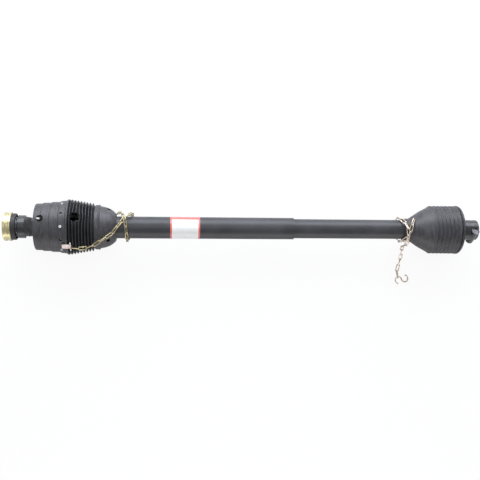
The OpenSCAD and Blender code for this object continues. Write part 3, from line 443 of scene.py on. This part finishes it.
# Links further than 40 mm from the axis hang off the tube or lie on the floor
off_tube_r, lean, key_step = 0.040, math.radians(45), 0.002
deselect()
bpy.ops.mesh.primitive_torus_add(major_segments=22, minor_segments=8, major_radius=(link_wide - wire_d) / 2,
                                 minor_radius=wire_d / 2)
link = bpy.context.object
for v in link.data.vertices:
    v.co.x += math.copysign((link_long - link_wide) / 2, v.co.x)


def chain_through(name, keys, laid, finish):
    """Copies of the link through keys of (x, turn from +Z towards -Y, radius) in mm and degrees."""
    def spot(t):
        i = min(int(t), len(keys) - 2)
        x, turn, r = (a + (b - a) * (t - i) for a, b in zip(keys[i], keys[i + 1]))
        return Vector((x, -r * math.sin(math.radians(turn)), r * math.cos(math.radians(turn)))) / 1000

    t, ends, copies = 0.0, [], []
    while t < len(keys) - 1:
        ends.append(spot(t))
        while t < len(keys) - 1 and (spot(t) - ends[-1]).length < link_pitch:
            t += key_step
    last = len(ends) - 2
    for i, (start, end) in enumerate(zip(ends, ends[1:])):
        middle, along = (start + end) / 2, (end - start).normalized()
        out = Vector((0, middle.y, middle.z))
        on_floor = laid and middle.z < 0 and out.length > off_tube_r
        side = along.cross(Vector((0, 0, 1)) if on_floor else out).normalized()
        # Links lean to each side in turn, and the laid ones turn on until the end link stands
        side_lean = -lean if (last - i) % 2 == 0 else lean
        roll = side_lean - lean * max(0, i - last + laid) / max(laid, 1)
        normal = side.cross(along) * math.cos(roll) + side * math.sin(roll)
        copy = bpy.data.objects.new(f"{name}_{i}", link.data.copy())
        bpy.context.scene.collection.objects.link(copy)
        copy.data.transform(Matrix.Translation(middle)
                            @ Matrix((along, normal.cross(along), normal)).transposed().to_4x4())
        copies.append(copy)
    deselect()
    for copy in copies:
        copy.select_set(True)
    bpy.context.view_layer.objects.active = copies[0]
    bpy.ops.object.join()
    copies[0].name = name
    copies[0].data.materials.append(bpy.data.materials[finish])
    bpy.ops.object.shade_smooth()
    return copies[0]


# From the cone's hole once round the guard tube, over itself, and out along the floor to the hook
chain = chain_through("implement_chain_links", (
    (1126, -42, 44), (1117.67, -14, 39.31), (1112.26, 22, 37.44), (1103.94, 55, 35), (1096.08, 88, 34.06),
    (1090.77, 135, 33.56), (1088.03, 180, 33.41), (1087.73, 230, 33.39), (1089.63, 272, 33.99),
    (1093.68, 308, 33.89), (1104.35, 345, 39.86), (1107.68, 385, 46.09), (1109.52, 418, 45.34),
    (1103.8, 461.77, 48.96), (1110.4, 474.44, 73.79), (1113, 478.66, 98.01), (1111.2, 479.31, 120.42),
    (1107.5, 477.28, 139.52), (1113.1, 474.11, 157.77)), 6, "thin_zinc_on_wire")
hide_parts("safety_chain_inner")
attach(chain, "guard_inner")

# From the tag over bellows and cone, round the guard tube and back over itself. The tag's end
# follows the tractor guard, link by link
toggle_x = 0.194
chain = chain_through("safety_chain_links", (
    (184, 44, 81.5), (213, 49.5, 77.5), (240, 44, 72), (266, 31, 64), (288, 20, 55), (308.16, -10, 44.79),
    (320.01, -38, 41.22), (332.3, -62, 38.92), (338.48, -85, 37.87), (340.24, -112, 38.16),
    (340.23, -140, 37.91), (335.34, -180, 35.59), (328.96, -230, 36.12), (326.86, -272, 36.46),
    (326.51, -320, 36.4), (323.27, -380, 44.05), (315.75, -407, 45.52), (311.14, -432, 41.86),
    (296.97, -466, 38.96)), 0, "yellow_zinc_on_wire")
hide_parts("safety_chain_outer")
weights, link_points = [], len(link.data.vertices)
for start in range(0, len(chain.data.vertices), link_points):
    middle = sum(v.co.x for v in chain.data.vertices[start:start + link_points]) / link_points
    weights += [1 - eased((middle - toggle_x) / (bellows_end_x - toggle_x))] * link_points
follow_shell(chain, weights)
bpy.data.objects.remove(link)

tag_white, shader, place = start_material("pink_white_enamelled_tag", Roughness=0.4)
# Enamel worn thin in patches of about 6 mm
chip = add_node(tag_white, "ShaderNodeTexNoise", {"Scale": 180.0, "Detail": 3.0}, {"Vector": place})
colour = add_node(tag_white, "ShaderNodeValToRGB", links={"Fac": chip.outputs["Fac"]},
                  stops=((0.38, "d9b3a6"), (0.55, "efe2dc")))
feed(tag_white, shader, Base_Color=colour.outputs["Color"])
finish_nodes(tag_white, "chain_tag")

# Springs
# Two coil springs of patented wire push the collar and the pin back. Each is a copy of its CAD
# spring, carried on its body with a mesh of its own.

wire, shader, place = start_material("spring_wire", Metallic=1.0)
# An oil film breaks up every 5 mm
oil = add_node(wire, "ShaderNodeTexNoise", {"Scale": 200.0, "Detail": 2.0}, {"Vector": place})
rough = add_node(wire, "ShaderNodeMapRange", {"To Min": 0.25, "To Max": 0.4},
                 {"Value": oil.outputs["Fac"]})
colour = add_node(wire, "ShaderNodeValToRGB", links={"Fac": oil.outputs["Fac"]},
                  stops=((0.3, "77797d"), (0.7, "a2a4a8")))
feed(wire, shader, Base_Color=colour.outputs["Color"], Roughness=rough.outputs["Result"])
collar_travel, pin_travel, pin_turn = 0.012, 0.006, math.radians(60)
for name, body, joint, axis, travel in (
        ("collar_spring", "tractor_yoke", "collar_slide", Vector((1, 0, 0)), collar_travel),
        ("push_pin_spring", "implement_yoke", "push_pin_slide",
         Vector((0, -math.cos(pin_turn), -math.sin(pin_turn))), pin_travel)):
    spring = copy_of_node(name, name + "_coil")
    spring.data.materials.clear()
    spring.data.materials.append(wire)
    bpy.ops.object.shade_smooth_by_angle(angle=math.radians(60))
    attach(spring, body)
    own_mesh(spring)

# Floor, light and camera
# White paper under three soft boxes in a pale room: a long one on each side of the shaft and a small
# one above. Paper and room glow white to the camera alone, as in an overexposed catalogue picture.

floor_left, floor_right = Vector((0.1710, 0, -0.0752)), Vector((1.2625, 0, -0.0689))
floor_middle_x, floor_size = 0.64, 12
deselect()
bpy.ops.mesh.primitive_plane_add(size=floor_size)
floor = bpy.context.object
floor.name = "floor"
slope = (floor_right.z - floor_left.z) / (floor_right.x - floor_left.x)
for v in floor.data.vertices:
    v.co.x += floor_middle_x
    v.co.z = floor_left.z + slope * (v.co.x - floor_left.x)
paper, shader, place = start_material("white_paper", Roughness=0.9)
shader.inputs["Base Color"].default_value = linear("f4f4f4")
fibre = add_node(paper, "ShaderNodeTexNoise", {"Scale": 30.0, "Detail": 2.0}, {"Vector": place})
fibre_bump = add_node(paper, "ShaderNodeBump", {"Strength": 0.02, "Distance": 0.001},
                      {"Height": fibre.outputs["Fac"]})
feed(paper, shader, Normal=fibre_bump.outputs["Normal"])
rays = add_node(paper, "ShaderNodeLightPath")
sight = add_node(paper, "ShaderNodeMath", {1: 0.9}, {0: rays.outputs["Is Camera Ray"]}, operation="MULTIPLY")
glow = add_node(paper, "ShaderNodeEmission", {"Color": linear("ffffff"), "Strength": 1.0})
both = add_node(paper, "ShaderNodeMixShader", (), {
    0: sight.outputs["Value"], 1: shader.outputs["BSDF"], 2: glow.outputs["Emission"]})
paper.node_tree.links.new(both.outputs["Shader"], paper.node_tree.nodes["Material Output"].inputs["Surface"])
floor.data.materials.append(paper)

for name, place_at, aim, size, power, tint in (
        ("box_behind", (0.6, 1.35, 0.62), (0.62, 0, 0), (3.0, 1.1), 56, (0.88, 0.93, 1.0)),
        ("box_front", (0.7, -1.6, 0.35), (0.65, 0, 0), (2.6, 0.6), 12, (1.0, 0.98, 0.96)),
        ("box_over", (0.4, 0.5, 2.4), (0.62, 0, 0), (1.6, 0.9), 9, (1.0, 1.0, 1.0))):
    lamp = bpy.data.objects.new(name, bpy.data.lights.new(name, "AREA"))
    bpy.context.scene.collection.objects.link(lamp)
    lamp.data.shape, lamp.data.size, lamp.data.size_y = "RECTANGLE", size[0], size[1]
    lamp.data.energy, lamp.data.color = power, tint
    lamp.location = place_at
    lamp.rotation_mode = "QUATERNION"
    lamp.rotation_quaternion = (Vector(aim) - Vector(place_at)).to_track_quat("-Z", "Y")

world = bpy.data.worlds.new("pale_room")
bpy.context.scene.world = world
world.use_nodes = True
room = world.node_tree.nodes["Background"]
room.inputs["Color"].default_value = linear("f2f4f8")
room.inputs["Strength"].default_value = 0.55
seen = add_node(world, "ShaderNodeBackground", {"Color": linear("ffffff"), "Strength": 1.0})
rays = add_node(world, "ShaderNodeLightPath")
both = add_node(world, "ShaderNodeMixShader", (), {
    0: rays.outputs["Is Camera Ray"], 1: room.outputs["Background"], 2: seen.outputs["Background"]})
world.node_tree.links.new(both.outputs["Shader"], world.node_tree.nodes["World Output"].inputs["Surface"])

focal_px, picture_px, sensor_mm = 703.5, 480, 36
distance, elevation, yaw, roll = 1.96, math.radians(90), 0.1047, math.radians(0.33)
centre_x, axis_above_centre = 0.6371, 0.0326
toward = Vector((0, -math.cos(elevation), math.sin(elevation)))
forward = Vector((math.sin(yaw), 0, 0)) - toward * math.cos(yaw)
right = Vector((math.cos(yaw), 0, 0)) + toward * math.sin(yaw)
up = right.cross(forward)
camera = bpy.data.objects.new("camera", bpy.data.cameras.new("camera"))
bpy.context.scene.collection.objects.link(camera)
bpy.context.scene.camera = camera
camera.data.sensor_width = sensor_mm
camera.data.lens = focal_px / picture_px * sensor_mm
place_at = Vector((centre_x, 0, 0)) - forward * distance - up * axis_above_centre
turned = Matrix((right, up, -forward)).transposed() @ Matrix.Rotation(roll, 3, "Z")
camera.matrix_world = Matrix.Translation(place_at) @ turned.to_4x4()
bpy.context.scene.view_settings.view_transform = "Standard"
